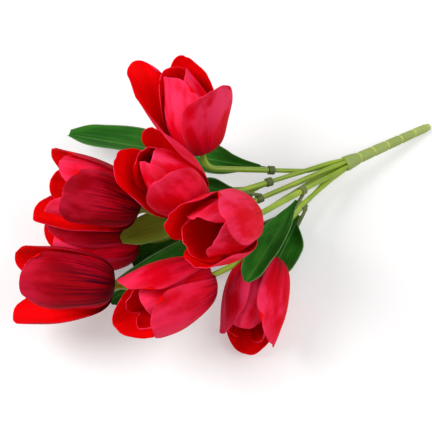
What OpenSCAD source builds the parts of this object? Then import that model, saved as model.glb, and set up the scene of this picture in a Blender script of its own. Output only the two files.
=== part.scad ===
// Artificial tulip bouquet lying on a table: one moulded handle, eight wired branches,
// and on each branch a ring with its leaf, a plug-on flower stem and a flower head.
// The bouquet is drawn round its own axis, with the neck at the origin and the flowers
// towards +Z, and lay_down() then sets it on the table.

/* [Lying on the table] */
// Rise of the bouquet's axis from the handle towards the flowers, in degrees
lay_lean = 14; // [12:0.5:20]
// Turn of the bouquet round its own axis, in degrees
lay_roll = -1.5; // [-10:0.1:10]
// Height of the neck above the table
neck_height = 20.2; // [18:0.05:34]
// Distance of the neck from the middle of the bouquet's footprint, along the handle
neck_ahead = 86.85; // [60:0.05:110]
// Distance of the neck from the middle of the bouquet's footprint, across the handle
neck_aside = -13.5; // [-20:0.05:20]

/* [Handle] */
// Length of the moulded handle behind the neck
handle_len = 72; // [60:1:100]
// Radius of the handle just behind the neck
handle_r = 3.9; // [3.5:0.1:4.5]
// Radius of the handle's last segment, which a holder grips
handle_tip_r = 2.9; // [2.5:0.1:3.4]
// Number of segments along the handle
segment_count = 5; // [4:1:8]
// Depth of the groove between two segments
groove_depth = 0.45; // [0.2:0.05:0.8]
// Width of the groove between two segments
groove_w = 1.2; // [0.8:0.1:2]
// Length of the neck, from the seats of the branches to the first segment
neck_len = 12; // [9:1:16]
// Length of the round crown at the end of the neck
crown_len = 5; // [4:0.5:7]
// Height of the crown above the middle of the seats
crown_top = 0.6; // [0.5:0.05:0.7]
// Wall of the crown outside the seats
crown_wall = 0.5; // [0.4:0.1:1]

/* [Branches] */
// Radius of the ball on the root of a branch, which sits in the neck
root_r = 1.3; // [1.2:0.05:1.4]
// Radial clearance of that ball in its seat
root_gap = 0.08; // [0.05:0.01:0.1]
// Radius of a branch just above its ball
root_neck_r = 0.9; // [0.8:0.05:1]
// Radius of a branch in its bend
branch_r = 1.8; // [1.6:0.1:2]
// Radius of a branch where it meets the ring
branch_end_r = 1.5; // [1.4:0.05:1.8]
// Length of the straight stretch between a branch's root and its bend
root_lead = 12; // [10:1:16]
// Radius of the bend of a branch
branch_bend_r = 28; // [22:1:36]
// Length of the straight stretch after the bend, before each branch's own share
branch_len = 40; // [36:1:46]
// Radius of the circle of roots round the middle one
root_circle_r = 3.4; // [3.4:0.05:3.8]
// Angle at which the outer branches leave the neck, in degrees
root_fan_angle = 8; // [7:1:10]

/* [Rings and pegs] */
// Radius of the peg on the end of a branch
peg_r = 1.0; // [0.9:0.05:1.05]
// Length of that peg beyond the ring
peg_len = 9; // [7:0.5:12]
// Radius of the ring that carries a leaf
ring_r = 3.0; // [2.7:0.1:3.4]
// Length of the ring along the branch
ring_len = 4; // [3:0.25:5]
// Radial clearance of a peg in its bore
peg_gap = 0.05; // [0.03:0.01:0.08]
// Gap between two faces that rest on each other
seat_gap = 0.1; // [0.05:0.05:0.2]

/* [Flower stems] */
// Radius of a flower stem
stem_r = 1.95; // [1.8:0.05:2.2]
// Length of the straight stretch above the ring, before each stem's own share
stem_lead = 26; // [22:1:30]
// Radius of the bend of a flower stem
stem_bend_r = 20; // [16:1:26]
// Length of the straight stretch below the flower, before each stem's own share
stem_tail = 16; // [14:1:20]
// Radius of the cup on top of a stem, which carries the petals
cup_r = 4.2; // [3.8:0.1:4.6]
// Height of that cup
cup_len = 4; // [3:0.5:6]

/* [Petals] */
// Length of an outer petal along its middle, from the cup's rim
outer_petal_len = 76; // [68:1:80]
// Width of an outer petal
outer_petal_w = 42; // [36:1:46]
// Length and width of an inner petal as a share of an outer one's
inner_petal_share = 0.905; // [0.85:0.005:0.92]
// Thickness of the petal fabric
petal_t = 0.5; // [0.4:0.05:0.7]

/* [Pistil] */
// Radius of the pistil's flange, which holds the petals down
flange_r = 3.8; // [3.4:0.1:4.2]
// Thickness of that flange
flange_t = 1; // [0.8:0.1:1.4]
// Length of the pin that goes down into the flower stem
pin_len = 5; // [4:0.5:6]
// Height of the pistil above its flange
pistil_len = 16; // [12:1:22]
// Radius of the pistil
pistil_r = 2.2; // [1.8:0.1:2.6]

/* [Leaves] */
// Length of a leaf before each leaf's own share
leaf_len = 118; // [100:1:130]
// Width of a leaf
leaf_w = 30; // [24:1:36]
// Thickness of a leaf
leaf_t = 0.6; // [0.5:0.05:0.8]
// Length of the plastic tongue that runs from the ring along the back of a leaf
tongue_len = 16; // [12:1:24]
// Radius of that tongue
tongue_r = 1.2; // [1:0.05:1.4]
// Distance of the tongue's axis outside the ring
tongue_out = 0.1; // [0:0.05:0.3]
// Distance along the tongue at which the leaf starts
leaf_start = 6; // [5:0.5:8]
// Gap between the tongue and the leaf
leaf_gap = 0.15; // [0.1:0.05:0.3]

/* [Hidden] */
$fn = 48;
FLOWERS = [1, 2, 3, 4, 5, 6, 7, 8];

// Each flower's root slot on the neck: 0 is the middle one, the others are clock angles.
// Then its branch: clock and lean of the straight stretch, share of branch_len;
// its head: clock and lean of the head's axis; shares of stem_lead, stem_tail, root_lead and stem_bend_r.
SLOT = 0;
CLOCK = 1;
LEAN = 2;
BRANCH_SHARE = 3;
HEAD_CLOCK = 4;
HEAD_LEAN = 5;
LEAD_SHARE = 6;
TAIL_SHARE = 7;
ROOT_SHARE = 8;
BEND_SHARE = 9;
stem_shares = [
    [2, 73, 23, 0.5, 47, 86, 1.46, 0.4, 2, 0.5],
    [7, 151, 3, 1.3, 30, 57, 0.9, 0.8, 1, 1],
    [1, 77, 6, 1.1, 83, 40, 2.75, 0.6, 1, 1],
    [3, 158, 16, 1.3, 104, 29, 2.35, 0.6, 1, 1],
    [0, 225, 8, 1.6, 95, 32, 3.1, 0.6, 1, 1],
    [6, 334, 19, 0.7, 347, 35, 1.5, 1, 1, 1],
    [5, 268, 15, 1.05, 343, 10, 2, 1, 1, 1],
    [4, 226, 25, 0.57, 268, 41, 0.72, 1, 0.6, 1]
];
// Each head's turn on its stem, then how far each of its outer and inner petals stands open, in degrees
head_open = [
    [25, 4, 4, 10, 0, 2, 0],
    [20, 6, 6, 6, 2, 0, 2],
    [0, 5, 2, 3, 0, -1, 0],
    [30, 4, 4, 4, 0, 0, 0],
    [0, 3, 8, 4, 0, 0, 0],
    [0, 8, 8, 6, 3, 2, 2],
    [70, 6, 7, 6, 2, 2, 2],
    [50, 6, 10, 5, 0, 1, 1]
];
// Each leaf's side of the branch, its lean from the branch, its swing along its length and its twist,
// in degrees, and its shares of leaf_len and leaf_w
leaf_shares = [
    [62, 31, 0, -70, 1.15, 1],
    [-125, 34, 65, -40, 0.36, 0.7],
    [100, 13, 0, 0, 0.85, 0.7],
    [40, 8, 0, 20, 0.72, 0.9],
    [-63, 25, 0, 0, 0.87, 0.8],
    [-108, 31, 0, 10, 0.58, 0.65],
    [-158, 19, 0, 0, 0.45, 0.45],
    [15, 18, 0, 60, 0.37, 0.8]
];

// Vectors
function unit(v) = v / norm(v);
function aim(lean, clock) = [sin(lean) * cos(clock), sin(lean) * sin(clock), cos(lean)];
function outward(lean, clock) = [cos(lean) * cos(clock), cos(lean) * sin(clock), -sin(lean)];
function across(clock) = [-sin(clock), cos(clock), 0];
function angle_between(a, b) = acos(min(1, max(-1, a * b)));
function side_of(a, b) = unit(b - (a * b) * a);
function after_bend(at, a, b, bend_r) =
    let (turn = angle_between(a, b), side = side_of(a, b))
    at + a * bend_r * sin(turn) + side * bend_r * (1 - cos(turn));

// The route of stem i: root, branch bend, ring, stem bend and cup
function root_at(i) =
    let (slot = stem_shares[i][SLOT], clock = slot * 360 / 7)
    slot == 0 ? [0, 0, 0] : [root_circle_r * cos(clock), root_circle_r * sin(clock), 0];
function root_aim(i) =
    let (slot = stem_shares[i][SLOT]) slot == 0 ? [0, 0, 1] : aim(root_fan_angle, slot * 360 / 7);
function branch_aim(i) = aim(stem_shares[i][LEAN], stem_shares[i][CLOCK]);
function head_aim(i) = aim(stem_shares[i][HEAD_LEAN], stem_shares[i][HEAD_CLOCK]);
function branch_bend_at(i) = root_at(i) + root_lead * stem_shares[i][ROOT_SHARE] * root_aim(i);
function branch_straight_at(i) =
    after_bend(branch_bend_at(i), root_aim(i), branch_aim(i), branch_bend_r);
function ring_at(i) = branch_straight_at(i) + branch_len * stem_shares[i][BRANCH_SHARE] * branch_aim(i);
function stem_at(i) = ring_at(i) + (ring_len + 2 * seat_gap) * branch_aim(i);
function stem_bend_at(i) = stem_at(i) + stem_lead * stem_shares[i][LEAD_SHARE] * branch_aim(i);
function stem_bend(i) = stem_bend_r * stem_shares[i][BEND_SHARE];
function stem_tail_at(i) = after_bend(stem_bend_at(i), branch_aim(i), head_aim(i), stem_bend(i));
function head_at(i) = stem_tail_at(i) + stem_tail * stem_shares[i][TAIL_SHARE] * head_aim(i);

// Places its children with their z axis along a direction
module point_along(at, lean, clock) {
    translate(at) rotate([0, lean, clock]) children();
}

module lay_down() {
    translate([neck_ahead, neck_aside, neck_height])
        rotate([0, lay_lean - 90, 0])
            rotate([0, 0, lay_roll])
                children();
}

// A bent rod from direction a to direction b
module elbow(at, a, b, bend_r, rod_r) {
    turn = angle_between(a, b);
    side = side_of(a, b);
    middle = at + side * bend_r;
    normal = cross(a, side);
    multmatrix([
        [-side.x, a.x, normal.x, middle.x],
        [-side.y, a.y, normal.y, middle.y],
        [-side.z, a.z, normal.z, middle.z],
        [0, 0, 0, 1]
    ])
        rotate_extrude(angle = turn)
            translate([bend_r, 0])
                circle(r = rod_r);
}

// Ledge where a straight stretch runs into a bend, and how far it runs in
bend_ledge = 0.04;
bend_grip = 0.5;

// Handle: a crown with a round seat for each branch, a collar that narrows, and the segments
crown_r = root_circle_r + root_r + crown_wall;
segment_len = (handle_len - neck_len) / segment_count;
function segment_r(k) = handle_r + (handle_tip_r - handle_r) * k / (segment_count - 1);

module handle_segment(k) {
    low = -neck_len - (k + 1) * segment_len;
    translate([0, 0, low + groove_w / 2])
        cylinder(r = segment_r(k), h = segment_len - groove_w);
    translate([0, 0, low - groove_w / 2])
        cylinder(r = segment_r(k) - groove_depth, h = 2 * groove_w);
}

module handle_end() {
    translate([0, 0, groove_w / 2 - handle_len]) {
        difference() {
            sphere(r = handle_tip_r);
            cylinder(r = 2 * handle_tip_r, h = 2 * handle_tip_r);
        }
    }
}

module handle() {
    color("yellowgreen")
        difference() {
            union() {
                translate([0, 0, crown_top - crown_len]) cylinder(r = crown_r, h = crown_len);
                translate([0, 0, -neck_len])
                    cylinder(r1 = handle_r, r2 = crown_r, h = neck_len + crown_top - crown_len);
                translate([0, 0, -neck_len - groove_w / 2]) cylinder(r = handle_r, h = groove_w);
                for (k = [0 : segment_count - 1]) handle_segment(k);
                handle_end();
            }
            for (i = [0 : len(stem_shares) - 1])
                translate(root_at(i)) sphere(r = root_r + root_gap);
        }
}

// Branches
module branch(i) {
    lead = root_lead * stem_shares[i][ROOT_SHARE];
    straight = branch_len * stem_shares[i][BRANCH_SHARE];
    slot = stem_shares[i][SLOT];
    color("yellowgreen") {
        translate(root_at(i)) sphere(r = root_r);
        point_along(root_at(i), slot == 0 ? 0 : root_fan_angle, slot * 360 / 7)
            cylinder(r1 = root_neck_r, r2 = branch_r - bend_ledge, h = lead + bend_grip);
        elbow(branch_bend_at(i), root_aim(i), branch_aim(i), branch_bend_r, branch_r);
        point_along(branch_straight_at(i), stem_shares[i][LEAN], stem_shares[i][CLOCK]) {
            translate([0, 0, -bend_grip])
                cylinder(r1 = branch_r - bend_ledge, r2 = branch_end_r, h = straight + bend_grip);
            translate([0, 0, straight - bend_grip])
                cylinder(r = peg_r, h = bend_grip + ring_len + peg_len);
        }
    }
}

module leaf_ring(i) {
    color("darkolivegreen")
        point_along(ring_at(i), stem_shares[i][LEAN], stem_shares[i][CLOCK]) {
            difference() {
                translate([0, 0, seat_gap]) cylinder(r = ring_r, h = ring_len);
                cylinder(r = peg_r + peg_gap, h = 2 * ring_len);
            }
            point_along(tongue_at(i), leaf_shares[i][LEAF_LEAN], leaf_shares[i][LEAF_SIDE]) {
                cylinder(r = tongue_r, h = tongue_len);
                translate([0, 0, tongue_len]) sphere(r = tongue_r);
                sphere(r = tongue_r);
            }
        }
}

// Flower stems
module flower_stem(i) {
    lead = stem_lead * stem_shares[i][LEAD_SHARE];
    tail = stem_tail * stem_shares[i][TAIL_SHARE];
    color("yellowgreen") {
        point_along(stem_at(i), stem_shares[i][LEAN], stem_shares[i][CLOCK])
            difference() {
                cylinder(r = stem_r - bend_ledge, h = lead + bend_grip);
                translate([0, 0, -peg_len]) cylinder(r = peg_r + peg_gap, h = 2 * peg_len);
            }
        elbow(stem_bend_at(i), branch_aim(i), head_aim(i), stem_bend(i), stem_r);
        point_along(stem_tail_at(i), stem_shares[i][HEAD_LEAN], stem_shares[i][HEAD_CLOCK])
            difference() {
                union() {
                    translate([0, 0, -bend_grip])
                        cylinder(r = stem_r - bend_ledge, h = tail + bend_grip);
                    translate([0, 0, tail - cup_len]) cylinder(r1 = stem_r, r2 = cup_r, h = cup_len);
                }
                translate([0, 0, tail - pin_len]) cylinder(r = peg_r + peg_gap, h = 2 * pin_len);
            }
    }
}

// Petals. A petal's middle line runs out along the cup's rim, turns up the side of the flower and
// leans in or out. Its heading is measured from the flower's axis, in degrees.
PROFILE_COUNT = 40;
PETAL_COUNT = 3;
COL_COUNT = 6;
bowl_share = 0.18;
wall_out_angle = 24;
wall_turn_angle = 46;
petal_row_shares = [0, 0.05, 0.12, 0.21, 0.32, 0.45, 0.58, 0.71, 0.83, 0.93, 1];
petal_width_shares = [0, 0, 0.42, 0.62, 0.8, 0.93, 1, 0.99, 0.9, 0.72, 0.44];
edge_drop_share = 0.1;
// Each petal reaches under one neighbour and over the other
overlap_share = 0.035;
widest_turn_angle = 67;
ROW_COUNT = len(petal_row_shares) - 1;
hole_r = peg_r + 6 * peg_gap;
cup_flat_r = cup_r - seat_gap;

function bowl(s) = exp(-pow(s / bowl_share, 2));
function heading(s, open) = bowl(s) * 90 + (1 - bowl(s)) * (wall_out_angle - wall_turn_angle * s + open);
function profile(len, open) = [
    for (
        k = 0, r = hole_r, z = 0;
        k <= PROFILE_COUNT;
        h = heading((k + 0.5) / PROFILE_COUNT, open),
        r = r + sin(h) * len / PROFILE_COUNT,
        z = z + cos(h) * len / PROFILE_COUNT,
        k = k + 1
    ) [k / PROFILE_COUNT, r, z]
];
function column(table, c) = [for (p = table) [p[0], p[c]]];

// One point of a petal: across runs from -1 to 1, and lift is the distance from the middle surface,
// positive on the inner face
function petal_point(row, across, lift, width, radii, heights, open) =
    row < 2
        ? let (r = row == 0 ? hole_r : cup_flat_r, turn = 180 / PETAL_COUNT * across)
            [r * cos(turn), r * sin(turn), lift]
        : let (
            s0 = petal_row_shares[row],
            s = s0 - edge_drop_share * pow(across, 2) * pow(s0, 4),
            h = heading(s, open),
            r = lookup(s, radii),
            z = lookup(s, heights),
            half = width / 2 * petal_width_shares[row],
            turn = across * min(widest_turn_angle, half / r * 180 / PI),
            out = r * (1 + overlap_share * across) - lift * cos(h)
        )
        [out * cos(turn), out * sin(turn), z + lift * sin(h)];

function whorl_index(petal, row, col, inner) =
    let (
        wraps = row < 2 && col == COL_COUNT,
        p = wraps ? (petal + 1) % PETAL_COUNT : petal,
        c = wraps ? 0 : col
    )
    ((p * (ROW_COUNT + 1) + row) * (COL_COUNT + 1) + c) * 2 + inner;

function turned(p, a) = [p.x * cos(a) - p.y * sin(a), p.x * sin(a) + p.y * cos(a), p.z];

// Three petals and the flat ring that joins them, cut from one sheet
module whorl(size_share, opens) {
    petal_len = outer_petal_len * size_share;
    petal_w = outer_petal_w * size_share;
    points = [
        for (petal = [0 : PETAL_COUNT - 1])
            let (table = profile(petal_len, opens[petal]))
            let (radii = column(table, 1), heights = column(table, 2))
            for (row = [0 : ROW_COUNT])
                for (col = [0 : COL_COUNT])
                    for (inner = [0, 1])
                        turned(
                            petal_point(row, 2 * col / COL_COUNT - 1, (inner - 0.5) * petal_t,
                                petal_w, radii, heights, opens[petal]),
                            petal * 360 / PETAL_COUNT
                        )
    ];
    faces = [
        for (petal = [0 : PETAL_COUNT - 1])
            for (row = [0 : ROW_COUNT - 1])
                for (col = [0 : COL_COUNT - 1])
                    each quad_pair(petal, row, col),
        for (petal = [0 : PETAL_COUNT - 1])
            for (col = [0 : COL_COUNT - 1])
                each [
                    each wall(petal, 0, col + 1, 0, col),
                    each wall(petal, ROW_COUNT, col, ROW_COUNT, col + 1)
                ],
        for (petal = [0 : PETAL_COUNT - 1])
            for (row = [1 : ROW_COUNT - 1])
                each [
                    each wall(petal, row, 0, row + 1, 0),
                    each wall(petal, row + 1, COL_COUNT, row, COL_COUNT)
                ]
    ];
    polyhedron(points, faces);
}

function quad_pair(petal, row, col) =
    let (
        a = whorl_index(petal, row, col, 0),
        b = whorl_index(petal, row + 1, col, 0),
        c = whorl_index(petal, row + 1, col + 1, 0),
        d = whorl_index(petal, row, col + 1, 0)
    )
    [[a, b, c], [a, c, d], [a + 1, c + 1, b + 1], [a + 1, d + 1, c + 1]];
function wall(petal, row_a, col_a, row_b, col_b) =
    let (a = whorl_index(petal, row_a, col_a, 0), b = whorl_index(petal, row_b, col_b, 0))
    [[a, b + 1, b], [a, a + 1, b + 1]];

module on_head(i) {
    point_along(head_at(i), stem_shares[i][HEAD_LEAN], stem_shares[i][HEAD_CLOCK])
        rotate([0, 0, head_open[i][0]])
            children();
}

module outer_petals(i) {
    color("crimson")
        on_head(i)
            translate([0, 0, seat_gap + petal_t / 2])
                whorl(1, [for (k = [1 : PETAL_COUNT]) head_open[i][k]]);
}

module inner_petals(i) {
    color("red")
        on_head(i)
            translate([0, 0, 2 * seat_gap + 1.5 * petal_t])
                rotate([0, 0, 180 / PETAL_COUNT])
                    whorl(inner_petal_share, [for (k = [1 : PETAL_COUNT]) head_open[i][PETAL_COUNT + k]]);
}

// Pistil
module pistil(i) {
    color("olive")
        on_head(i) {
            low = 3 * seat_gap + 2 * petal_t;
            translate([0, 0, low]) cylinder(r = flange_r, h = flange_t);
            translate([0, 0, low]) cylinder(r1 = pistil_r, r2 = pistil_r * 0.8, h = pistil_len);
            translate([0, 0, low + pistil_len]) sphere(r = pistil_r);
            translate([0, 0, seat_gap - pin_len]) cylinder(r = peg_r, h = pin_len + low);
        }
}

// Leaves
LEAF_ROW_COUNT = 11;
LEAF_COL_COUNT = 4;
LEAF_SIDE = 0;
LEAF_LEAN = 1;
LEAF_SWING = 2;
LEAF_TWIST = 3;
LEAF_SHARE = 4;
LEAF_WIDTH = 5;
straight_share = 0.15;
twist_share = 0.35;
leaf_width_shares = [0.16, 0.24, 0.42, 0.66, 0.86, 0.97, 1, 0.98, 0.91, 0.76, 0.5, 0.1];
fold_share = 0.22;

function leaf_swing(i, s) =
    leaf_shares[i][LEAF_SWING] * pow(max(0, s - straight_share) / (1 - straight_share), 1.3);
function leaf_aim(i, s) = aim(leaf_shares[i][LEAF_LEAN], leaf_shares[i][LEAF_SIDE] + leaf_swing(i, s));
function tongue_at(i) =
    let (side = leaf_shares[i][LEAF_SIDE])
    (ring_r + tongue_out) * [cos(side), sin(side), 0] + [0, 0, seat_gap + ring_len / 2];
function leaf_at(i) =
    let (lean = leaf_shares[i][LEAF_LEAN], side = leaf_shares[i][LEAF_SIDE])
    tongue_at(i) + leaf_start * aim(lean, side)
        - (tongue_r + leaf_t / 2 + leaf_gap) * outward(lean, side);
function leaf_line(i) = [
    for (
        k = 0, p = leaf_at(i), run = leaf_len * leaf_shares[i][LEAF_SHARE] / LEAF_ROW_COUNT;
        k <= LEAF_ROW_COUNT;
        p = p + run * leaf_aim(i, (k + 0.5) / LEAF_ROW_COUNT),
        k = k + 1
    ) p
];
function leaf_index(row, col, inner) = (row * (LEAF_COL_COUNT + 1) + col) * 2 + inner;
function leaf_quad(row, col) =
    let (
        a = leaf_index(row, col, 0),
        b = leaf_index(row + 1, col, 0),
        c = leaf_index(row + 1, col + 1, 0),
        d = leaf_index(row, col + 1, 0)
    )
    [[a, b, c], [a, c, d], [a + 1, c + 1, b + 1], [a + 1, d + 1, c + 1]];
function leaf_wall(row_a, col_a, row_b, col_b) =
    let (a = leaf_index(row_a, col_a, 0), b = leaf_index(row_b, col_b, 0))
    [[a, b + 1, b], [a, a + 1, b + 1]];

function turned_share(s) = 1 - pow(1 - min(1, max(0, s - straight_share) / twist_share), 2);

module leaf(i) {
    line = leaf_line(i);
    points = [
        for (row = [0 : LEAF_ROW_COUNT])
            let (
                s = row / LEAF_ROW_COUNT,
                lean = leaf_shares[i][LEAF_LEAN],
                side = leaf_shares[i][LEAF_SIDE] + leaf_swing(i, s),
                twist = leaf_shares[i][LEAF_TWIST] * turned_share(s),
                out = outward(lean, side),
                cross_way = across(side),
                wide = cos(twist) * cross_way + sin(twist) * out,
                up = sin(twist) * cross_way - cos(twist) * out,
                half = leaf_w / 2 * leaf_shares[i][LEAF_WIDTH] * leaf_width_shares[row]
            )
            for (col = [0 : LEAF_COL_COUNT])
                for (inner = [0, 1])
                    let (t = 2 * col / LEAF_COL_COUNT - 1)
                    line[row] + half * t * wide
                        + (half * 2 * fold_share * t * t + (inner - 0.5) * leaf_t) * up
    ];
    faces = [
        for (row = [0 : LEAF_ROW_COUNT - 1]) for (col = [0 : LEAF_COL_COUNT - 1]) each leaf_quad(row, col),
        for (col = [0 : LEAF_COL_COUNT - 1]) each leaf_wall(0, col + 1, 0, col),
        for (col = [0 : LEAF_COL_COUNT - 1]) each leaf_wall(LEAF_ROW_COUNT, col, LEAF_ROW_COUNT, col + 1),
        for (row = [0 : LEAF_ROW_COUNT - 1]) each leaf_wall(row, 0, row + 1, 0),
        for (row = [0 : LEAF_ROW_COUNT - 1]) each leaf_wall(row + 1, LEAF_COL_COUNT, row, LEAF_COL_COUNT)
    ];
    color("darkgreen")
        point_along(ring_at(i), stem_shares[i][LEAN], stem_shares[i][CLOCK])
            polyhedron(points, faces);
}

lay_down() handle();
for (i = FLOWERS) {
    lay_down() branch(i - 1);
    lay_down() leaf_ring(i - 1);
    lay_down() leaf(i - 1);
    lay_down() flower_stem(i - 1);
    lay_down() outer_petals(i - 1);
    lay_down() inner_petals(i - 1);
    lay_down() pistil(i - 1);
}
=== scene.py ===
# %% [markdown]
# # A bunch of artificial tulips
#
# The real object is a tulip bush for a vase: a moulded handle, eight wired branches, a ring with a
# leaf on each branch, plug-on flower stems and eight heads of heat-set printed fabric. It lies on a
# white table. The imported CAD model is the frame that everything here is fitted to.

import bpy
import numpy as np
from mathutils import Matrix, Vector


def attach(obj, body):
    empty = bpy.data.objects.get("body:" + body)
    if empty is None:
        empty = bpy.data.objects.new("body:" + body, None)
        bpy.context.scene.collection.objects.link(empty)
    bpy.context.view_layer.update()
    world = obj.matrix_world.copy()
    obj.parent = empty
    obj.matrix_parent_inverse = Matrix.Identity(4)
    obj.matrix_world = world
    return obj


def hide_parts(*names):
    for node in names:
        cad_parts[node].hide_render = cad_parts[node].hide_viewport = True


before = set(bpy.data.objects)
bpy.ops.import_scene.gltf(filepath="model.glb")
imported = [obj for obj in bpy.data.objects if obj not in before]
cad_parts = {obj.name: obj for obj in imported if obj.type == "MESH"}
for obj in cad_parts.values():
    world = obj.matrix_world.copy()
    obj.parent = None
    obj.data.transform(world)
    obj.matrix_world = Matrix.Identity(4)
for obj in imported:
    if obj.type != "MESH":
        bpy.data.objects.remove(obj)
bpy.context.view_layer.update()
scene = bpy.context.scene

# %% [markdown]
# ## Camera, light and table
#
# The photograph looks down on the bouquet from a steep angle, from far away, so the lens is long.
# The camera is placed by the neck of the bouquet, which stands at a known pixel. A camera could also be
# aimed with a constraint, but plain axes keep it fixed when another view moves it. Two soft lamps and a
# dim sky light the object. What the camera sees behind it is white, through Light Path, so the white
# table adds no light to the petals and still shows their shadow.

# %% Camera
# lengths are in millimetres here, and become metres only where something is put into Blender
MM = 0.001
PIXELS = 432
MM_PER_PIXEL = 0.69
CAMERA_AWAY = 1000
NECK = np.array([86.85, -13.5, 20.2])
NECK_PIXEL = np.array([345, 164])
AZIMUTH, ELEVATION = -30, 70


def camera_axes(azimuth, elevation):
    """Right, up and backwards, as seen by a camera at these two angles in degrees."""
    a, e = np.radians([azimuth, elevation])
    right = np.array([np.cos(a), np.sin(a), 0])
    back = np.array([np.sin(a) * np.cos(e), -np.cos(a) * np.cos(e), np.sin(e)])
    return right, np.cross(back, right), back


right, up, back = camera_axes(AZIMUTH, ELEVATION)
offset = (NECK_PIXEL - PIXELS / 2) * MM_PER_PIXEL
centre = NECK - right * offset[0] + up * offset[1]
lens = bpy.data.cameras.new("photo_camera")
lens.sensor_width = 36
lens.lens = lens.sensor_width * CAMERA_AWAY / (PIXELS * MM_PER_PIXEL)
camera = bpy.data.objects.new("photo_camera", lens)
scene.collection.objects.link(camera)
scene.camera = camera
camera.location = (centre + back * CAMERA_AWAY) * MM
camera.rotation_mode = "QUATERNION"
camera.rotation_quaternion = Vector(back).to_track_quat("Z", "Y")
scene.view_settings.view_transform = "Standard"
print("lens", round(lens.lens, 1), "mm, camera at", [round(x, 3) for x in camera.location])

# %% Lamps


def soft_lamp(name, place, size, watts):
    lamp = bpy.data.lights.new(name, "AREA")
    lamp.shape = "SQUARE"
    lamp.size = size
    lamp.energy = watts
    holder = bpy.data.objects.new(name, lamp)
    scene.collection.objects.link(holder)
    holder.location = place
    holder.rotation_mode = "QUATERNION"
    holder.rotation_quaternion = Vector(place).to_track_quat("Z", "Y")


soft_lamp("softbox_left", (-0.7, 0.5, 1.0), 0.6, 10.5)
soft_lamp("softbox_right", (0.6, -0.5, 1.1), 0.9, 6.5)

# %% Node helpers


def wire(tree, kind, inputs=None, out=0, **settings):
    """Adds a node, sets or links its inputs, and gives one of its output sockets."""
    made = tree.nodes.new(kind)
    for key, value in settings.items():
        setattr(made, key, value)
    for key, value in (inputs or {}).items():
        if isinstance(value, bpy.types.NodeSocket):
            tree.links.new(value, made.inputs[key])
        else:
            made.inputs[key].default_value = value
    return made.outputs[out] if made.outputs else made


def math(tree, operation, *values):
    """A Math node on numbers or sockets."""
    return wire(tree, "ShaderNodeMath", dict(enumerate(values)), operation=operation)


def seen_directly(tree):
    """1 for rays from the camera, off gloss or through glass, and 0 for the light on the object."""
    path = tree.nodes.new("ShaderNodeLightPath").outputs
    seen = math(tree, "MAXIMUM", path["Is Camera Ray"], path["Is Glossy Ray"])
    return math(tree, "MAXIMUM", seen, path["Is Transmission Ray"])


print("node helpers are ready")

# %% World
WHITE = (1, 1, 1, 1)
SKY_LIGHT = 0.42
world = bpy.data.worlds.new("studio")
scene.world = world
world.use_nodes = True
sky = world.node_tree
sky.nodes.clear()
ambient = wire(sky, "ShaderNodeBackground", {"Color": WHITE, "Strength": SKY_LIGHT})
white = wire(sky, "ShaderNodeBackground", {"Color": WHITE, "Strength": 1.0})
both = wire(sky, "ShaderNodeMixShader", {0: seen_directly(sky), 1: ambient, 2: white})
wire(sky, "ShaderNodeOutputWorld", {"Surface": both})
print("world:", world.name, "lights with", SKY_LIGHT)

# %% Table
TABLE_GREY, TABLE_LIFT = (0.74, 0.74, 0.74, 1), 0.32
bpy.ops.mesh.primitive_plane_add(size=6, location=(0, 0, 0))
table = bpy.context.object
table.name = "table"
paper = bpy.data.materials.new("white_table")
paper.use_nodes = True
tree = paper.node_tree
tree.nodes.clear()
matt = wire(tree, "ShaderNodeBsdfDiffuse", {"Color": TABLE_GREY})
glow = math(tree, "MULTIPLY", seen_directly(tree), TABLE_LIFT)
lift = wire(tree, "ShaderNodeEmission", {"Color": WHITE, "Strength": glow})
surface = wire(tree, "ShaderNodeAddShader", {0: matt, 1: lift})
wire(tree, "ShaderNodeOutputMaterial", {"Surface": surface})
table.data.materials.append(paper)
print("table:", paper.name)

# %% [markdown]
# ## The route of each stem
#
# Each branch leaves a seat on the neck, bends, and carries a ring. A flower stem is plugged on above it,
# bends once more, and ends in a cup. These few lines repeat the angles and lengths of the CAD source, in
# millimetres, so that every dressed piece lies on its CAD node.

# %% Measures of the stems
LAY_LEAN, LAY_ROLL = 14, -1.5
ROOT_LEAD, BRANCH_BEND_R, BRANCH_LEN = 12, 28, 40
ROOT_CIRCLE_R, ROOT_FAN, ROOT_SLOTS = 3.4, 8, 7
RING_LEN, SEAT_GAP = 4, 0.1
STEM_LEAD, STEM_BEND_R, STEM_TAIL = 26, 20, 16
# for each stem: its slot in the crown, the clock and lean of its branch, its share of the branch's
# length, the clock and lean of its head, and its shares of the lead, the tail, the root and the bend
STEMS = [
    [2, 73, 23, 0.5, 47, 86, 1.46, 0.4, 2, 0.5],
    [7, 151, 3, 1.3, 30, 57, 0.9, 0.8, 1, 1],
    [1, 77, 6, 1.1, 83, 40, 2.75, 0.6, 1, 1],
    [3, 158, 16, 1.3, 104, 29, 2.35, 0.6, 1, 1],
    [0, 225, 8, 1.6, 95, 32, 3.1, 0.6, 1, 1],
    [6, 334, 19, 0.7, 347, 35, 1.5, 1, 1, 1],
    [5, 268, 15, 1.05, 343, 10, 2, 1, 1, 1],
    [4, 226, 25, 0.57, 268, 41, 0.72, 1, 0.6, 1],
]


def turn_z(degrees):
    """The turn about Z."""
    c, s = np.cos(np.radians(degrees)), np.sin(np.radians(degrees))
    return np.array([[c, -s, 0], [s, c, 0], [0, 0, 1]])


def turn_y(degrees):
    """The turn about Y."""
    c, s = np.cos(np.radians(degrees)), np.sin(np.radians(degrees))
    return np.array([[c, 0, s], [0, 1, 0], [-s, 0, c]])


def facing(lean, clock):
    """The turn that points +Z along a lean and a clock angle."""
    return turn_z(clock) @ turn_y(lean)


LAID = turn_y(LAY_LEAN - 90) @ turn_z(LAY_ROLL)


def on_table(points):
    """From the bouquet's own frame, in millimetres, to the table's."""
    return np.asarray(points) @ LAID.T + NECK


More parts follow.
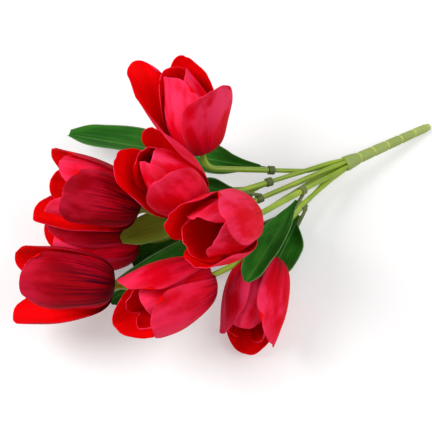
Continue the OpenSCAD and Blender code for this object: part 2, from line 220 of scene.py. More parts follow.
def bend(at, a, b, radius, steps=24):
    """Points of a round bend from direction a to direction b."""
    angle = np.arccos(np.clip(a @ b, -1, 1))
    side = b - (a @ b) * a
    side = side / np.linalg.norm(side)
    t = np.linspace(0, angle, steps)[:, None]
    return at + radius * (a * np.sin(t) + side * (1 - np.cos(t)))


def stem_route(row):
    """The lines of one branch and its flower stem, with the places of its ring and its head."""
    slot, clock, lean, length, head_clock, head_lean, lead, tail, root, radius = row
    spot = turn_z(slot * 360 / ROOT_SLOTS) @ [ROOT_CIRCLE_R if slot else 0, 0, 0]
    rise = facing(ROOT_FAN if slot else 0, slot * 360 / ROOT_SLOTS)[:, 2]
    along, head_way = facing(lean, clock)[:, 2], facing(head_lean, head_clock)[:, 2]
    arc = bend(spot + ROOT_LEAD * root * rise, rise, along, BRANCH_BEND_R)
    ring = arc[-1] + BRANCH_LEN * length * along
    stem = ring + (RING_LEN + 2 * SEAT_GAP) * along
    stem_arc = bend(stem + STEM_LEAD * lead * along, along, head_way, STEM_BEND_R * radius)
    head = stem_arc[-1] + STEM_TAIL * tail * head_way
    return {
        "branch": np.vstack([spot[None], arc, ring[None]]),
        "stem": np.vstack([stem[None], stem_arc, head[None]]),
        "ring": ring, "ring_turn": facing(lean, clock),
        "head": head, "head_turn": facing(head_lean, head_clock),
    }


ROUTES = [stem_route(row) for row in STEMS]
for number, route in enumerate(ROUTES, 1):
    print("head", number, "stands at", np.round(on_table(route["head"]), 1))

# %% [markdown]
# ## Helpers for meshes and finishes
#
# A piece is made as a grid of points with a UV map that runs across and along it, because the printed
# veins and streaks follow the cloth and not the room.

# %% Mesh helpers


def grid_mesh(name, grids):
    """One mesh from several (rows, columns, 3) grids in millimetres, with UVs from 0 to 1 on each."""
    verts, faces, uvs = [], [], []
    for grid in grids:
        rows, cols = grid.shape[:2]
        start = sum(len(v) for v in verts)
        verts.append(grid.reshape(-1, 3))
        u, v = np.meshgrid(np.linspace(0, 1, cols), np.linspace(0, 1, rows))
        uv = np.stack([u, v], -1).reshape(-1, 2)
        for r in range(rows - 1):
            for c in range(cols - 1):
                low, high = r * cols + c, (r + 1) * cols + c
                corner = [low, low + 1, high + 1, high]
                faces.append([start + k for k in corner])
                uvs.extend(uv[corner])
    mesh = bpy.data.meshes.new(name)
    mesh.from_pydata((np.vstack(verts) * MM).tolist(), [], faces)
    layer = mesh.uv_layers.new(name="UVMap")
    layer.data.foreach_set("uv", np.array(uvs, np.float32).ravel())
    mesh.polygons.foreach_set("use_smooth", [True] * len(mesh.polygons))
    piece = bpy.data.objects.new(name, mesh)
    scene.collection.objects.link(piece)
    return piece


def mark(piece, name, value):
    """A number on every point of a piece, for its material to read."""
    made = piece.data.attributes.new(name, "FLOAT", "POINT")
    values = np.broadcast_to(value, len(piece.data.vertices)).astype(np.float32)
    made.data.foreach_set("value", values)


def smooth_share(shares, places, s):
    """Shares at places, joined by a smooth curve."""
    shares, places = np.array(shares, float), np.array(places, float)
    slope = np.gradient(shares, places)
    k = np.clip(np.searchsorted(places, s) - 1, 0, len(places) - 2)
    gap = places[k + 1] - places[k]
    t = (s - places[k]) / gap
    a = (1 + 2 * t) * (1 - t) ** 2 * shares[k] + t * (1 - t) ** 2 * gap * slope[k]
    return a + t * t * (3 - 2 * t) * shares[k + 1] + t * t * (t - 1) * gap * slope[k + 1]


def thicken(piece, millimetres, inner_slot, rim_slot):
    """Gives a sheet its thickness. Its inner face and its rim take the finishes of these slots."""
    solid = piece.modifiers.new("cloth_thickness", "SOLIDIFY")
    solid.thickness = millimetres * MM
    solid.offset = 0
    solid.material_offset = inner_slot
    solid.material_offset_rim = rim_slot


def dress(piece, node, body):
    """Puts a finished piece in the place of a CAD node."""
    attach(piece, body)
    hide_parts(node)


print("helpers are ready")

# %% Material helpers


def linear(red, green, blue):
    """A colour read off as 0 to 255, as the linear colour that Blender mixes."""
    s = np.array([red, green, blue]) / 255
    return (*np.where(s <= 0.04045, s / 12.92, ((s + 0.055) / 1.055) ** 2.4).tolist(), 1)


def new_finish(name, **sockets):
    """A material whose plain numbers stand on the shader itself."""
    material = bpy.data.materials.new(name)
    material.use_nodes = True
    shader = material.node_tree.nodes["Principled BSDF"]
    for key, value in sockets.items():
        shader.inputs[key.replace("_", " ")].default_value = value
    return material, material.node_tree, shader


def mix(tree, factor, a, b):
    """From colour a to colour b by a factor."""
    return wire(tree, "ShaderNodeMix", {0: factor, 6: a, 7: b}, out=2, data_type="RGBA")


def ramp(tree, value, low, high, to_low=0, to_high=1):
    """A smooth step of a value between two bounds."""
    inputs = {"Value": value, "From Min": low, "From Max": high, "To Min": to_low, "To Max": to_high}
    return wire(tree, "ShaderNodeMapRange", inputs, interpolation_type="SMOOTHSTEP")


def noise(tree, vector, scale, detail=3, roughness=0.55):
    """Soft noise at a place."""
    inputs = {"Vector": vector, "Scale": scale, "Detail": detail, "Roughness": roughness}
    return wire(tree, "ShaderNodeTexNoise", inputs)


def cloth_place(tree):
    """Where a point lies across and along its sheet, each from 0 to 1."""
    uv = wire(tree, "ShaderNodeUVMap", uv_map="UVMap")
    split = tree.nodes.new("ShaderNodeSeparateXYZ")
    tree.links.new(uv, split.inputs[0])
    return split.outputs[0], split.outputs[1]


def marked(tree, name):
    """A number that was marked on the piece."""
    return wire(tree, "ShaderNodeAttribute", out=2, attribute_name=name)


def stretched(tree, across, along, share_across, share_along, third):
    """A place on the sheet for noise, with a scale of its own each way, apart for each sheet."""
    x, y = math(tree, "MULTIPLY", across, share_across), math(tree, "MULTIPLY", along, share_along)
    return wire(tree, "ShaderNodeCombineXYZ", {0: x, 1: y, 2: third})


def bump(tree, shader, height, millimetres, strength=1):
    """Fine relief, this many millimetres deep."""
    inputs = {"Height": height, "Distance": millimetres * MM, "Strength": strength}
    tree.links.new(wire(tree, "ShaderNodeBump", inputs), shader.inputs["Normal"])


print("material helpers are ready")

# %% [markdown]
# ## Petal cloth
#
# A petal is cut from polyester cloth, printed, and pressed hot in a mould. Its outer face is crimson with
# dark streaks that rise from the base, and its inner face is plain scarlet. A painted picture would be
# the usual way; here both prints are drawn by stretched noise, so they stay sharp at any distance.

# %% Outer print of a petal


def petal_outside():
    """Crimson with a painted sheen highlight that pales its edge and tip, and pinker patches; a head with
    more ink is darker and has longer streaks.
    """
    name = "petal_print_and_sheen_outside"
    material, tree, shader = new_finish(name, Roughness=0.62, Specular_IOR_Level=0.05)
    across, along = cloth_place(tree)
    own, ink = marked(tree, "own"), marked(tree, "ink")
    side = math(tree, "ABSOLUTE", math(tree, "MULTIPLY_ADD", across, 2, -1))
    soft = noise(tree, stretched(tree, across, along, 3, 2, own), 1)
    fine = noise(tree, stretched(tree, across, along, 34, 1.3, own), 1, 4, 0.6)
    broad = noise(tree, stretched(tree, across, along, 11, 1.0, own), 1, 2, 0.5)
    light = mix(tree, ramp(tree, soft, 0.35, 0.7), linear(232, 0, 28), linear(255, 4, 56))
    dark = mix(tree, ramp(tree, soft, 0.35, 0.7), linear(166, 0, 16), linear(204, 0, 32))
    crimson = mix(tree, ramp(tree, ink, 0.35, 1.0), light, dark)
    # painted sheen highlight: the edges and the tip are mixed towards pale pink, less on heads with more
    # ink
    edge = math(tree, "MAXIMUM", ramp(tree, side, 0.75, 1.0), ramp(tree, along, 0.8, 1.0))
    pale = math(tree, "MULTIPLY", edge, ramp(tree, ink, 0.3, 1.1, 0.45, 0.1))
    colour = mix(tree, pale, crimson, linear(255, 60, 104))
    # pinker patches up the middle of the petal where the soft noise is high, fewer on heads with more ink
    pink_patches = math(tree, "MULTIPLY", ramp(tree, soft, 0.42, 0.62), ramp(tree, along, 0.3, 0.75))
    pink_patches = math(tree, "MULTIPLY", pink_patches, ramp(tree, ink, 0.15, 0.8, 0.85, 0.15))
    colour = mix(tree, pink_patches, colour, linear(255, 62, 110))
    height = math(tree, "MULTIPLY_ADD", broad, 0.7, math(tree, "MULTIPLY", side, 0.2))
    height = math(tree, "SUBTRACT", math(tree, "ADD", along, height), math(tree, "MULTIPLY", ink, 0.35))
    reach = ramp(tree, height, 0.3, 1.0, 1, 0)
    lines = math(tree, "MULTIPLY", ramp(tree, fine, 0.42, 0.6), reach)
    lines = math(tree, "MULTIPLY", lines, ramp(tree, ink, 0, 0.9, 0.35, 1))
    colour = mix(tree, lines, colour, linear(62, 0, 24))
    base = math(tree, "MULTIPLY", ramp(tree, along, 0.42, 0.06), ramp(tree, ink, 0, 0.8, 0.4, 1))
    colour = mix(tree, math(tree, "MULTIPLY", base, 0.85), colour, linear(58, 0, 12))
    tree.links.new(colour, shader.inputs["Base Color"])
    bump(tree, shader, fine, 0.22, 0.6)
    return material


PETAL_OUTSIDE = petal_outside()
print("made", PETAL_OUTSIDE.name)

# %% Inner print of a petal


def petal_inside():
    """Plain scarlet, with painted shade that darkens it towards the claw, deep in the cup."""
    name = "petal_print_and_shade_inside"
    material, tree, shader = new_finish(name, Roughness=0.65, Specular_IOR_Level=0.04)
    across, along = cloth_place(tree)
    own = marked(tree, "own")
    fine = noise(tree, stretched(tree, across, along, 40, 1.5, own), 1, 3, 0.6)
    soft = noise(tree, stretched(tree, across, along, 3, 2, own), 1)
    colour = mix(tree, ramp(tree, soft, 0.35, 0.7), linear(236, 0, 2), linear(255, 4, 14))
    colour = mix(tree, ramp(tree, fine, 0.55, 0.75, 0, 0.3), colour, linear(190, 0, 8))
    # painted shade: darker towards the claw, at the bottom of the cup
    colour = mix(tree, ramp(tree, along, 0.4, 0.08), colour, linear(92, 0, 4))
    tree.links.new(colour, shader.inputs["Base Color"])
    bump(tree, shader, fine, 0.2, 0.5)
    return material


PETAL_INSIDE = petal_inside()
print("made", PETAL_INSIDE.name)

# %% [markdown]
# ## Flower heads
#
# Each whorl is one sheet with three petals. A petal's middle line runs out over the cup, turns up the
# side of the flower and leans in again at the top. The sheet is laid on that line, rounded at its tip
# and ruffled along its edges, and only then gets its thickness.

# %% Measures of the petals
# A petal's line starts flat on the cup, turns up within BOWL_SHARE of its length, leans out by WALL_OUT
# degrees, and has leant in again by WALL_TURN degrees at its tip. The shares give its half width by rows.
PEG_R, PEG_GAP, CUP_R, PETAL_T = 1.0, 0.05, 4.2, 0.5
HOLE_R, CUP_FLAT_R = PEG_R + 6 * PEG_GAP, CUP_R - SEAT_GAP
BOWL_SHARE, WALL_OUT, WALL_TURN = 0.18, 24, 46
PETAL_COUNT = 3
PITCH = 360 / PETAL_COUNT
ROW_SHARES = [0, 0.05, 0.12, 0.21, 0.32, 0.45, 0.58, 0.71, 0.83, 0.93, 1]
WIDTH_SHARES = [0, 0, 0.4, 0.58, 0.76, 0.9, 0.99, 1, 0.96, 0.86, 0.7]
WIDEST_TURN, OVERLAP_SHARE, EDGE_DROP = 67, 0.035, 0.2
OUTER_PETAL, INNER_SHARE = np.array([76, 42]), 0.905
print("flat petals:", OUTER_PETAL, "and", OUTER_PETAL * INNER_SHARE, "mm")

# %% How each head stands open
# the head's turn on its stem, then how far its outer and its inner petals stand open, in degrees
HEADS = [
    [25, 4, 4, 10, 0, 2, 0],
    [20, 6, 6, 6, 2, 0, 2],
    [0, 5, 2, 3, 0, -1, 0],
    [30, 4, 4, 4, 0, 0, 0],
    [0, 3, 8, 4, 0, 0, 0],
    [0, 8, 8, 6, 3, 2, 2],
    [70, 6, 7, 6, 2, 2, 2],
    [50, 6, 10, 5, 0, 1, 1],
]
# then, for the outer and the inner petals, how far hands have bent each one: its outward spread, the
# curl of its tip and its sway to one side, in degrees
BENT = [
    [(-6, 0, 4), (14, 40, -36), (28, 28, 6), (-4, 10, 0), (-12, 30, -4), (-10, 16, 0)],
    [(-2, 8, 4), (-2, 12, -3), (10, -8, 2), (-10, 6, 0), (-14, 0, 4), (-14, 4, -4)],
    [(4, 18, 8), (16, 20, -4), (40, 12, 3), (0, 14, 0), (8, 16, 4), (8, 4, -4)],
    [(0, 12, 4), (6, 12, -4), (6, -4, 2), (-4, 6, 0), (-6, 4, 4), (-6, 4, -4)],
    [(4, 16, 24), (10, 14, -2), (22, 0, 0), (4, 18, 0), (-6, 4, 4), (-4, 6, -4)],
    [(4, -4, 3), (-2, 14, -4), (-4, 12, 4), (-6, 4, 3), (-2, 0, -3), (-6, 6, 3)],
    [(0, 10, -3), (2, 14, -4), (4, 12, 22), (-5, 4, 3), (-4, 0, -3), (-4, 6, 3)],
    [(4, 8, -10), (-16, 8, 4), (-2, 8, 2), (-4, 4, 3), (-4, 0, -3), (-2, 8, 3)],
]
print("heads:", len(HEADS), "petals:", sum(len(row) for row in BENT))

# %% The line along a petal
LINE_STEPS = 200
BEND_FROM, BEND_OVER, CURL_FROM = 0.12, 0.5, 0.68


def heading(s, opening):
    """A petal's heading from the flower's axis at a share of its length, in degrees."""
    bowl = np.exp(-((s / BOWL_SHARE) ** 2))
    return bowl * 90 + (1 - bowl) * (WALL_OUT - WALL_TURN * s + opening)


def bent_by(s, spread, curl):
    """How far hands have bent a petal outwards by a share of its length, in degrees."""
    late = np.clip((s - BEND_FROM) / BEND_OVER, 0, 1)
    tip = np.clip((s - CURL_FROM) / (1 - CURL_FROM), 0, 1)
    return spread * late**2 * (3 - 2 * late) + curl * tip**2


def middle_line(way, length):
    """Distance from the axis and height along a petal that has these headings."""
    out = HOLE_R + np.concatenate([[0], np.cumsum(np.sin(way))]) * length / LINE_STEPS
    return out, np.concatenate([[0], np.cumsum(np.cos(way))]) * length / LINE_STEPS


print("a petal turns from", heading(0, 0), "to", heading(1, 0), "degrees")

# %% One petal
PETAL_ROWS, PETAL_COLS = 56, 30


def rounded_back(s, a):
    """Shares of the length, drawn back towards the petal's edges so that its tip is round."""
    return s - EDGE_DROP * s**4 * (1 - np.sqrt(1 - 0.97 * a**2))


def ruffles(s, s0, a, wave, phase):
    """How far cloth stands off its mould: a wavy edge, fine folds, a middle crease, an uneven tip."""
    lift = wave * np.abs(a) ** 3 * s0**1.5 * np.sin(6.3 * (1.9 * s + phase) + 2 * np.sign(a))
    lift = lift + 0.4 * s0 * np.cos(9 * a + phase) * (1 - a**2)
    lift = lift - 0.6 * np.exp(-((a / 0.09) ** 2)) * s0
    return lift + 0.9 * s0**4 * np.sin(4.1 * a + 5 * phase)


def petal_grid(size, opening, bent, wave, phase):
    """One petal's middle surface, in the head's own frame."""
    length, width = size
    spread, curl, sway = bent
    fine, places = (np.arange(LINE_STEPS) + 0.5) / LINE_STEPS, np.linspace(0, 1, LINE_STEPS + 1)
    moulded = np.radians(heading(fine, opening))
    out, _ = middle_line(moulded, length)
    far, high = middle_line(moulded + np.radians(bent_by(fine, spread, curl)), length)
    a, s0 = np.meshgrid(np.linspace(-1, 1, PETAL_COLS + 1), np.linspace(0, 1, PETAL_ROWS + 1))
    s = rounded_back(s0, a)
    h = np.radians(heading(s, opening))
    r = np.interp(s, places, out)
    past_claw = np.maximum(s0, ROW_SHARES[2])
    half = width / 2 * smooth_share(WIDTH_SHARES[2:], ROW_SHARES[2:], past_claw)
    turn = np.radians(a * np.minimum(WIDEST_TURN, np.degrees(half / r)) + sway * s**2)
    lift = ruffles(s, s0, a, wave, phase)
    o = r * (1 + (OVERLAP_SHARE + 0.05 * s**2) * a) - lift * np.cos(h)
    # the bend carries each cross-section along whole, so the petal stays as cupped as it was moulded
    b = np.radians(bent_by(s, spread, curl))
    x, y, z = o * np.cos(turn) - r, o * np.sin(turn), lift * np.sin(h)
    wall = np.stack([
        np.interp(s, places, far) + x * np.cos(b) + z * np.sin(b), y,
        np.interp(s, places, high) - x * np.sin(b) + z * np.cos(b),
    ], -1)
    # the flat ring on the cup, and the claws that run from it into the petals
    ring_r = HOLE_R + (CUP_FLAT_R - HOLE_R) * np.clip(s0 / ROW_SHARES[1], 0, 1)
    round_ring = np.radians(PITCH / 2 * a)
    flat = np.stack([ring_r * np.cos(round_ring), ring_r * np.sin(round_ring), 0 * a], -1)
    share = np.clip((s0 - ROW_SHARES[1]) / (ROW_SHARES[2] - ROW_SHARES[1]), 0, 1)[..., None]
    return flat * (1 - share) + wall * share


print("petal grid", petal_grid(OUTER_PETAL, 4, (0, 0, 0), 0.6, 0).shape)

# %% A whorl of three petals
WAVES = [0.9, 1.1, 0.8]
# cloth that would hang below the table lies on it, its middle surface this high
TABLE_REST = 0.25


def whorl(name, number, size, openings, bents, base, turn):
    """One sheet of three petals, laid on its head."""
    route = ROUTES[number - 1]
    grids = []
    for k, opening in enumerate(openings):
        grid = petal_grid(size, opening, bents[k], WAVES[k], 0.37 * k + 0.61 * number)
        grid = grid @ turn_z(PITCH * k + turn).T + [0, 0, base]
        placed = on_table(grid @ route["head_turn"].T + route["head"])
        placed[..., 2] = np.maximum(placed[..., 2], TABLE_REST)
        grids.append(placed)
    return grid_mesh(name, grids)


print("ruffles of the three petals:", WAVES, "mm")

# %% Make the sixteen whorls
INK = [0.2, 0.55, 1.0, 0.8, 1.0, 0.35, 0.55, 0.35]
PETAL_INK, INNER_INK = np.array([1, 0.8, 1]), 0.5
PETAL_CLOTH_T = 0.4
for number, (turn, *openings) in enumerate(HEADS, 1):
    bent = BENT[number - 1]
    for inner, kind in enumerate(("outer", "inner")):
        part = slice(PETAL_COUNT * inner, PETAL_COUNT * (inner + 1))
        size = OUTER_PETAL * (INNER_SHARE if inner else 1)
        base = SEAT_GAP * (1 + inner) + PETAL_T * (0.5 + inner)
        turned = turn + PITCH / 2 * inner
        piece = whorl(f"{kind}_whorl_{number}", number, size, openings[part], bent[part], base, turned)
        each = len(piece.data.vertices) // PETAL_COUNT
        ink = INK[number - 1] * PETAL_INK * (INNER_INK if inner else 1)
        # numbers far apart, so that no two petals get the same pattern
        mark(piece, "own", np.repeat(number * 7.3 + 3.1 * inner + np.array([0, 1.7, 2.9]), each))
        mark(piece, "ink", np.repeat(ink, each))
        piece.data.materials.append(PETAL_OUTSIDE)
        piece.data.materials.append(PETAL_INSIDE)
        thicken(piece, PETAL_CLOTH_T, 1, 0)
        dress(piece, f"{kind}_petals_{number}", f"head_{number}")

# %% [markdown]
# ## Leaves
#
# A leaf is the same kind of cloth with a print of fine parallel veins, dark green above and greyer
# below, folded along its middle. It is a sheet laid along the leaf's line, so it is made as the petals are.

# %% Leaf finishes


def leaf_finish(name, dark, mid, vein, edge_colour, rough):
    """Parallel veins, a pale middle line and a pale edge; a marked leaf is the olive one."""
    material, tree, shader = new_finish(name, Roughness=rough, Specular_IOR_Level=0.1)
    across, along = cloth_place(tree)
    own, pale = marked(tree, "own"), marked(tree, "pale")
    side = math(tree, "ABSOLUTE", math(tree, "MULTIPLY_ADD", across, 2, -1))
    soft = noise(tree, stretched(tree, across, along, 3, 4, own), 1)
    fine = noise(tree, stretched(tree, across, along, 46, 1.2, own), 1, 3, 0.6)
    colour = mix(tree, ramp(tree, soft, 0.3, 0.7), dark, mid)
    colour = mix(tree, ramp(tree, fine, 0.5, 0.75, 0, 0.5), colour, vein)
    colour = mix(tree, ramp(tree, side, 0.06, 0.02, 0, 0.6), colour, vein)
    olive = mix(tree, ramp(tree, fine, 0.35, 0.7), linear(104, 138, 22), linear(160, 186, 64))
    colour = mix(tree, pale, colour, olive)
    colour = mix(tree, ramp(tree, side, 0.93, 1.0, 0, 0.7), colour, edge_colour)
    tree.links.new(colour, shader.inputs["Base Color"])
    bump(tree, shader, fine, 0.3, 0.6)
    return material


LEAF_TOP = leaf_finish(
    "leaf_print_top", rough=0.45,
    dark=linear(8, 76, 0), mid=linear(38, 118, 0),
    vein=linear(62, 138, 20), edge_colour=linear(120, 160, 96),
)
LEAF_BACK = leaf_finish(
    "leaf_print_back", rough=0.55,
    dark=linear(22, 88, 12), mid=linear(50, 120, 28),
    vein=linear(92, 150, 66), edge_colour=linear(140, 174, 124),
)
print("made", LEAF_TOP.name, LEAF_BACK.name)

# %% Measures of the leaves
RING_R, TONGUE_R, TONGUE_OUT = 3.0, 1.2, 0.1
LEAF_START, LEAF_GAP, LEAF_LEN, LEAF_W, LEAF_T = 6, 0.15, 118, 30, 0.6
STRAIGHT_SHARE, TWIST_SHARE, FOLD_SHARE = 0.15, 0.35, 0.16
LEAF_WIDTH_SHARES = [0.16, 0.3, 0.56, 0.78, 0.94, 1.02, 1.04, 1.04, 1.0, 0.94, 0.78, 0.25]
# for each leaf: the side of its ring, its lean, swing and twist, and its shares of length and width
LEAVES = [
    [62, 31, 0, -70, 1.15, 1],
    [-125, 34, 65, -40, 0.36, 0.7],
    [100, 13, 0, 0, 0.85, 0.7],
    [40, 8, 0, 20, 0.72, 0.9],
    [-63, 25, 0, 0, 0.87, 0.8],
    [-108, 31, 0, 10, 0.58, 0.65],
    [-158, 19, 0, 0, 0.45, 0.45],
    [15, 18, 0, 60, 0.37, 0.8],
]
print("longest leaf:", LEAF_LEN * max(row[4] for row in LEAVES), "mm")

# %% The sheet of a leaf
LEAF_ROWS, LEAF_COLS = 66, 20


def leaf_frames(side, lean, swing, s):
    """Directions along, across and above a leaf at the shares s of its length."""
    late = np.maximum(0, s - STRAIGHT_SHARE) / (1 - STRAIGHT_SHARE)
    c, l = np.radians(side + swing * late**1.3), np.radians(np.full_like(s, lean))
    along = np.stack([np.sin(l) * np.cos(c), np.sin(l) * np.sin(c), np.cos(l)], -1)
    out = np.stack([np.cos(l) * np.cos(c), np.cos(l) * np.sin(c), -np.sin(l)], -1)
    return along, np.stack([-np.sin(c), np.cos(c), 0 * c], -1), out


def leaf_grid(number):
    """One leaf's middle surface, in its ring's own frame."""
    side, lean, swing, twist, length_share, width_share = LEAVES[number - 1]
    s = np.linspace(0, 1, LEAF_ROWS + 1)
    along, cross, out = leaf_frames(side, lean, swing, s)
    tongue = (RING_R + TONGUE_OUT) * np.array([np.cos(np.radians(side)), np.sin(np.radians(side)), 0])
    tongue = tongue + [0, 0, SEAT_GAP + RING_LEN / 2]
    first = tongue + LEAF_START * along[0] - (TONGUE_R + LEAF_T / 2 + LEAF_GAP) * out[0]
    step = LEAF_LEN * length_share / LEAF_ROWS
    middle = (along[1:] + along[:-1]) / 2
    line = np.vstack([first[None], first + np.cumsum(middle * step, 0)])
    turned = twist * (1 - (1 - np.clip((s - STRAIGHT_SHARE) / TWIST_SHARE, 0, 1)) ** 2)
    t = np.radians(turned)[:, None]
    wide, above = np.cos(t) * cross + np.sin(t) * out, np.sin(t) * cross - np.cos(t) * out
    shares = smooth_share(LEAF_WIDTH_SHARES, np.linspace(0, 1, len(LEAF_WIDTH_SHARES)), s)
    half = (LEAF_W / 2 * width_share * shares)[:, None, None]
    a = np.linspace(-1, 1, LEAF_COLS + 1)[None, :, None]
    wave = (np.sin(19 * s + number) * np.sqrt(s))[:, None, None]
    ruffle = 0.7 * np.abs(a) ** 3 * wave
    rise = half * 2 * FOLD_SHARE * np.abs(a) ** 1.7 + ruffle
    return line[:, None] + half * a * wide[:, None] + rise * above[:, None]


print("leaf grid", leaf_grid(1).shape)

# %% Make the leaves
LEAF_CLOTH_T, OLIVE_LEAF = 0.45, 3
for number, route in enumerate(ROUTES, 1):
    grid = leaf_grid(number) @ route["ring_turn"].T + route["ring"]
    piece = grid_mesh(f"leaf_blade_{number}", [on_table(grid)])
    mark(piece, "own", number * 5.7)
    mark(piece, "pale", float(number == OLIVE_LEAF))
    piece.data.materials.append(LEAF_TOP)
    piece.data.materials.append(LEAF_BACK)
    thicken(piece, LEAF_CLOTH_T, 1, 0)
    dress(piece, f"leaf_{number}", f"stem_{number}")
print("leaves made:", len(ROUTES))

# %% [markdown]
# ## Moulded rods
#
# The handle, the branches and the flower stems are all round rods along a line, so one Geometry Nodes
# tree makes them. It turns a line of points into a tube whose radius is read from the points, and it
# presses in the grooves between the handle's segments. A revolved outline would do for the handle, but
# not for the bent stems.

# %% The rod tree
ROD_INPUTS = {
    "Sides": ("NodeSocketInt", 24), "Step": ("NodeSocketFloat", 0.001),
    "Groove Depth": ("NodeSocketFloat", 0.0), "Groove Share": ("NodeSocketFloat", 0.06),
    "Unevenness": ("NodeSocketFloat", 0.02), "Seed": ("NodeSocketFloat", 0.0),
}


def groove_depth(tree, joint, share, depth):
    """How deep the groove is here: full where the joint number is whole, and none away from it."""
    near = math(tree, "ABSOLUTE", math(tree, "SUBTRACT", joint, math(tree, "ROUND", joint)))
    near = math(tree, "DIVIDE", near, share)
    groove = math(tree, "EXPONENT", math(tree, "MULTIPLY", math(tree, "MULTIPLY", near, near), -1))
    return math(tree, "MULTIPLY", groove, depth)


def rod_tree():
    """A tube along a line of points, with its radius and its joint numbers read from the points."""
    tree = bpy.data.node_groups.new("moulded_rod", "GeometryNodeTree")
    face = tree.interface
    face.new_socket("Geometry", in_out="INPUT", socket_type="NodeSocketGeometry")
    for name, (kind, value) in ROD_INPUTS.items():
        face.new_socket(name, in_out="INPUT", socket_type=kind).default_value = value
    face.new_socket("Material", in_out="INPUT", socket_type="NodeSocketMaterial")
    face.new_socket("Geometry", in_out="OUTPUT", socket_type="NodeSocketGeometry")
    given = tree.nodes.new("NodeGroupInput").outputs
    line = wire(tree, "GeometryNodeMeshToCurve", {"Mesh": given["Geometry"]})
    line = wire(tree, "GeometryNodeResampleCurve", {"Curve": line, "Length": given["Step"]}, mode="LENGTH")
    radius = wire(tree, "GeometryNodeInputNamedAttribute", {"Name": "rod_radius"}, data_type="FLOAT")
    joint = wire(tree, "GeometryNodeInputNamedAttribute", {"Name": "rod_joint"}, data_type="FLOAT")
    groove = groove_depth(tree, joint, given["Groove Share"], given["Groove Depth"])
    place = wire(tree, "GeometryNodeInputPosition")
    inputs = {"Vector": place, "W": given["Seed"], "Scale": 90.0}
    uneven = wire(tree, "ShaderNodeTexNoise", inputs, noise_dimensions="4D")
    uneven = math(tree, "MULTIPLY_ADD", math(tree, "SUBTRACT", uneven, 0.5), given["Unevenness"], 1)
    radius = math(tree, "MULTIPLY", math(tree, "SUBTRACT", radius, groove), uneven)
    ring = wire(tree, "GeometryNodeCurvePrimitiveCircle", {"Resolution": given["Sides"], "Radius": 1.0})
    inputs = {"Curve": line, "Profile Curve": ring, "Scale": radius, "Fill Caps": True}
    tube = wire(tree, "GeometryNodeCurveToMesh", inputs)
    tube = wire(tree, "GeometryNodeSetShadeSmooth", {"Geometry": tube})
    tube = wire(tree, "GeometryNodeRealizeInstances", {"Geometry": tube})
    tube = wire(tree, "GeometryNodeSetMaterial", {"Geometry": tube, "Material": given["Material"]})
    wire(tree, "NodeGroupOutput", {"Geometry": tube})
    return tree


ROD = rod_tree()
print("rod tree inputs:", [s.name for s in ROD.interface.items_tree if s.in_out == "INPUT"])

# %% Rod maker


def rod(name, points, radii, joints, material, **inputs):
    """A plain mesh of a rod along points in the bouquet's frame, in millimetres."""
    mesh = bpy.data.meshes.new(name + "_line")
    spots = on_table(points) * MM
    mesh.from_pydata(spots.tolist(), [(k, k + 1) for k in range(len(spots) - 1)], [])
    line = bpy.data.objects.new(name + "_line", mesh)
    scene.collection.objects.link(line)
    mark(line, "rod_radius", np.asarray(radii) * MM)
    mark(line, "rod_joint", joints)
    modifier = line.modifiers.new("rod", "NODES")
    modifier.node_group = ROD
    sockets = {s.name: s.identifier for s in ROD.interface.items_tree if s.in_out == "INPUT"}
    for key, value in {"Material": material, **inputs}.items():
        modifier[sockets[key.replace("_", " ")]] = value
    line.update_tag()
    solid = bpy.data.meshes.new_from_object(line.evaluated_get(bpy.context.evaluated_depsgraph_get()))
    line.modifiers.clear()
    bpy.data.objects.remove(line)
    solid.name = name
    piece = bpy.data.objects.new(name, solid)
    scene.collection.objects.link(piece)
    return piece


def finer(points, step=0.5):
    """The same line with points no further apart than a step."""
    gaps = np.linalg.norm(np.diff(points, axis=0), axis=1)
    run = np.concatenate([[0], np.cumsum(gaps)])
    at = np.linspace(0, run[-1], int(run[-1] / step) + 1)
    return np.stack([np.interp(at, run, points[:, k]) for k in range(3)], -1), at


print("the rod maker is ready")

# %% [markdown]
# ## Plastic finishes
#
# The moulded pieces are plain coloured plastic. What tells it from paint is a slow change of tone, a fine
# grain and a soft gloss. On the real handle the colour is yellower in the grooves between its segments,
# so that finish reads the joint number that the rod carries.

# %% Plastic finishes


def plastic(name, dark, light, rough, fleck, seam=None):
    """Moulded plastic; a seam colour also marks the grooves where the rod's joint number is whole."""
    material, tree, shader = new_finish(name, Roughness=rough, Specular_IOR_Level=0.45)
    place = wire(tree, "ShaderNodeTexCoord", out=3)
    broad = noise(tree, place, 40)
    grain = noise(tree, place, 900, 2)
    colour = mix(tree, ramp(tree, broad, 0.35, 0.65), dark, light)
    colour = mix(tree, ramp(tree, grain, 0.55, 0.75, 0, 0.25), colour, fleck)
    if seam:
        joint = marked(tree, "rod_joint")
        away = math(tree, "ABSOLUTE", math(tree, "SUBTRACT", joint, math(tree, "ROUND", joint)))
        colour = mix(tree, ramp(tree, away, 0.1, 0.03, 0, 0.65), colour, seam)
    tree.links.new(colour, shader.inputs["Base Color"])
    bump(tree, shader, grain, 0.08, 0.6)
    return material


STEM_GREEN = plastic(
    "stem_plastic", rough=0.3,
    dark=linear(132, 162, 24), light=linear(160, 188, 44), fleck=linear(190, 210, 90),
)
HANDLE_GREEN = plastic(
    "handle_plastic", rough=0.6, seam=linear(198, 206, 96),
    dark=linear(146, 166, 84), light=linear(174, 188, 108), fleck=linear(196, 200, 136),
)
RING_GREEN = plastic(
    "ring_plastic", rough=0.55,
    dark=linear(78, 92, 38), light=linear(108, 118, 56), fleck=linear(130, 138, 78),
)
PISTIL_OLIVE = plastic(
    "pistil_plastic", rough=0.6,
    dark=linear(70, 66, 20), light=linear(110, 100, 34), fleck=linear(150, 140, 60),
)
print("plastics are ready")

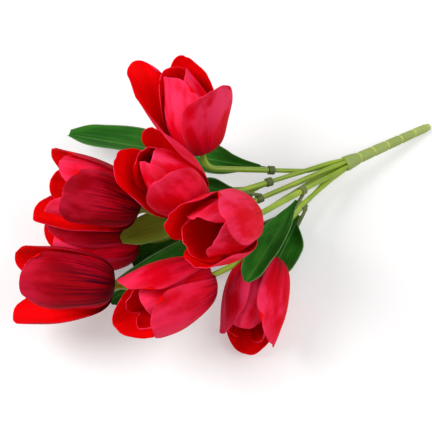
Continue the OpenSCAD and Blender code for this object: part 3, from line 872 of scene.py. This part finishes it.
# %% Make the handle
HANDLE_LEN, NECK_LEN, SEGMENTS = 72, 12, 5
HANDLE_R, HANDLE_TIP_R, CROWN_R, CROWN_TOP = 3.9, 2.9, 5.2, 0.6
CROWN_RADII = [CROWN_R - 0.4, CROWN_R, CROWN_R - 0.2, HANDLE_R]
CROWN_DEPTHS = [-CROWN_TOP, 0.4, 4.4, NECK_LEN]
NO_GROOVE = 0.5
segment = (HANDLE_LEN - NECK_LEN) / SEGMENTS
rounding = -HANDLE_LEN - HANDLE_TIP_R * np.sin(np.linspace(0.02, 1.55, 24))
reach = np.concatenate([np.linspace(CROWN_TOP, -HANDLE_LEN, 300), rounding])
below = np.clip((-reach - NECK_LEN) / (HANDLE_LEN - NECK_LEN), 0, 1)
crown = smooth_share(CROWN_RADII, CROWN_DEPTHS, np.clip(-reach, -CROWN_TOP, NECK_LEN))
thick = np.where(-reach < NECK_LEN, crown, HANDLE_R + (HANDLE_TIP_R - HANDLE_R) * below)
end = np.clip((-reach - HANDLE_LEN) / HANDLE_TIP_R, 0, 1)
thick = thick * np.sqrt(np.maximum(0.0004, 1 - end**2))
joints = np.where(-reach < NECK_LEN - 2, NO_GROOVE, (-reach - NECK_LEN) / segment)
line = np.stack([0 * reach, 0 * reach, reach], -1)
handle = rod(
    "handle_rod", line, thick, joints, HANDLE_GREEN,
    Sides=36, Step=0.0004, Groove_Depth=0.0008, Groove_Share=0.05, Unevenness=0.03,
)
dress(handle, "handle", "handle")
print("the handle has", len(handle.data.polygons), "faces")

# %% Make the branches and the flower stems
ROOT_R, BRANCH_R, BRANCH_END_R, THIN_LEN = 1.2, 1.8, 1.5, 12
STEM_R, CUP_LEN, CUP_CURVE = 1.95, 4, 1.3
for number, route in enumerate(ROUTES, 1):
    points, run = finer(route["branch"])
    radii = np.interp(run, [0, THIN_LEN, run[-1]], [ROOT_R, BRANCH_R, BRANCH_END_R])
    looks = {"Unevenness": 0.03, "Seed": float(number)}
    piece = rod(f"branch_rod_{number}", points, radii, NO_GROOVE, STEM_GREEN, **looks)
    dress(piece, f"branch_{number}", f"stem_{number}")
    points, run = finer(route["stem"])
    left = run[-1] - run
    radii = STEM_R + (CUP_R - STEM_R) * np.clip(1 - left / CUP_LEN, 0, 1) ** CUP_CURVE
    looks["Seed"] = float(number + 10)
    piece = rod(f"flower_rod_{number}", points, radii, NO_GROOVE, STEM_GREEN, **looks)
    dress(piece, f"flower_stem_{number}", f"stem_{number}")

# %% [markdown]
# ## Rings and pistils
#
# The rings with their tongues and the pistils are small hard mouldings, and the CAD model already has
# their full shape. They could be rebuilt, but a better finish on the CAD mesh is all that they need. The
# frame moves them with their bodies by itself, so they get a material and nothing else.

# %% Finish the CAD nodes that stay
for number in range(1, len(STEMS) + 1):
    for node, finish in ((f"leaf_ring_{number}", RING_GREEN), (f"pistil_{number}", PISTIL_OLIVE)):
        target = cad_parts[node].data
        target.materials.clear()
        target.materials.append(finish)
print("rings and pistils take", RING_GREEN.name, "and", PISTIL_OLIVE.name)
